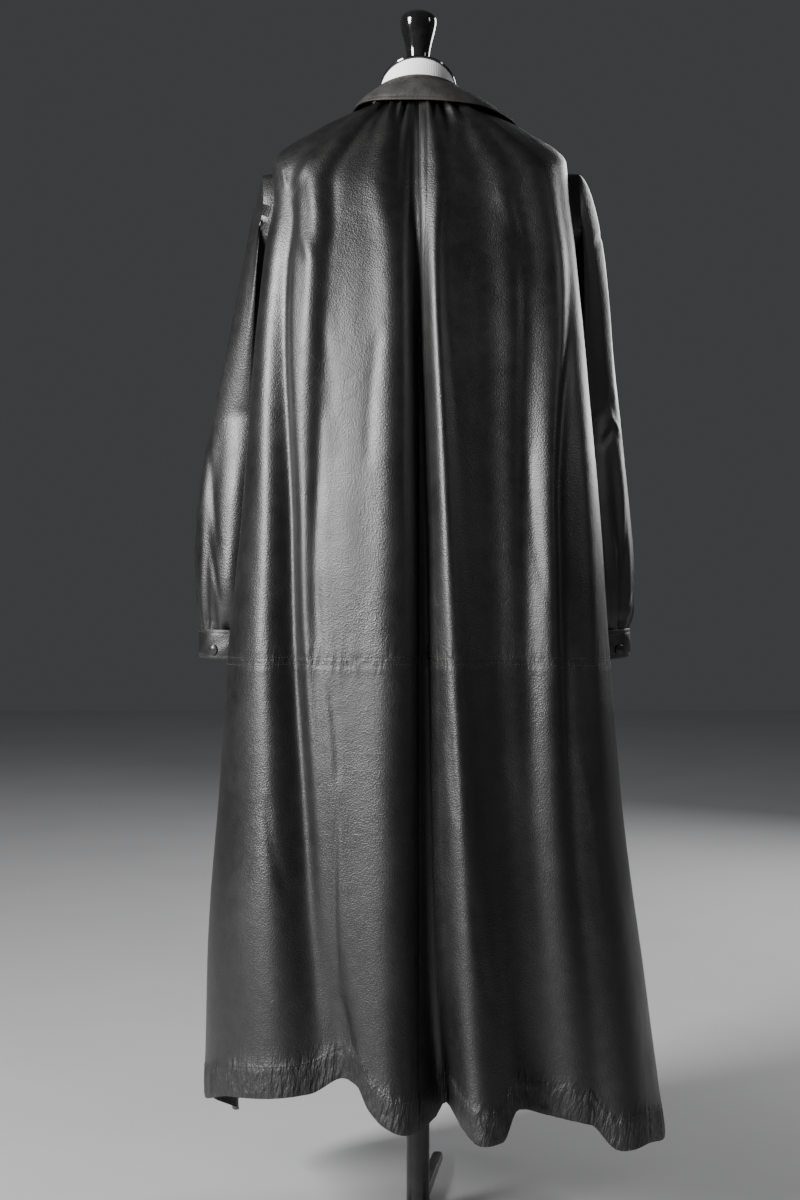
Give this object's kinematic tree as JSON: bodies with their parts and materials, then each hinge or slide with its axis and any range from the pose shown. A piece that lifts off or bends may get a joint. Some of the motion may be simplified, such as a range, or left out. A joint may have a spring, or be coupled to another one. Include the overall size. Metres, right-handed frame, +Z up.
{
  "type": "leather coat on dress form",
  "caption": "Long flared black leather coat with a gathered back, hip seam and full cuffed sleeves, on a dress form.",
  "frame": {"origin": "centre of the pole's flat foot on the floor, under the dress form", "axes": "+Z up along the pole, +Y the way the wearer faces, -X the wearer's left"},
  "size_m": [0.5965, 0.4626, 1.5284],
  "materials": {
    "black_leather": "semi-gloss, fine grain",
    "collar_leather": "matte, fine grain",
    "button_black": "gloss",
    "form_white": "matte jersey",
    "gloss_black": "high gloss lacquer",
    "stand_black": "satin black paint"
  },
  "bodies": {
    "root": {"back_skirt_left": "black_leather", "back_skirt_right": "black_leather", "back_upper_left": "black_leather", "back_upper_right": "black_leather", "button_cuff_left": "button_black", "button_cuff_right": "button_black", "button_front_1": "button_black", "button_front_2": "button_black", "button_front_3": "button_black", "button_front_4": "button_black", "button_front_5": "button_black", "button_front_6": "button_black", "collar": "collar_leather", "cuff_left": "black_leather", "cuff_right": "black_leather", "form_cap": "gloss_black", "form_knob": "gloss_black", "form_torso": "form_white", "front_skirt_left": "black_leather", "front_skirt_right": "black_leather", "front_upper_left": "black_leather", "front_upper_right": "black_leather", "sleeve_left": "black_leather", "sleeve_right": "black_leather", "stand_leg_1": "stand_black", "stand_leg_2": "stand_black", "stand_leg_3": "stand_black", "stand_pole": "stand_black"}
  },
  "joints": []
}
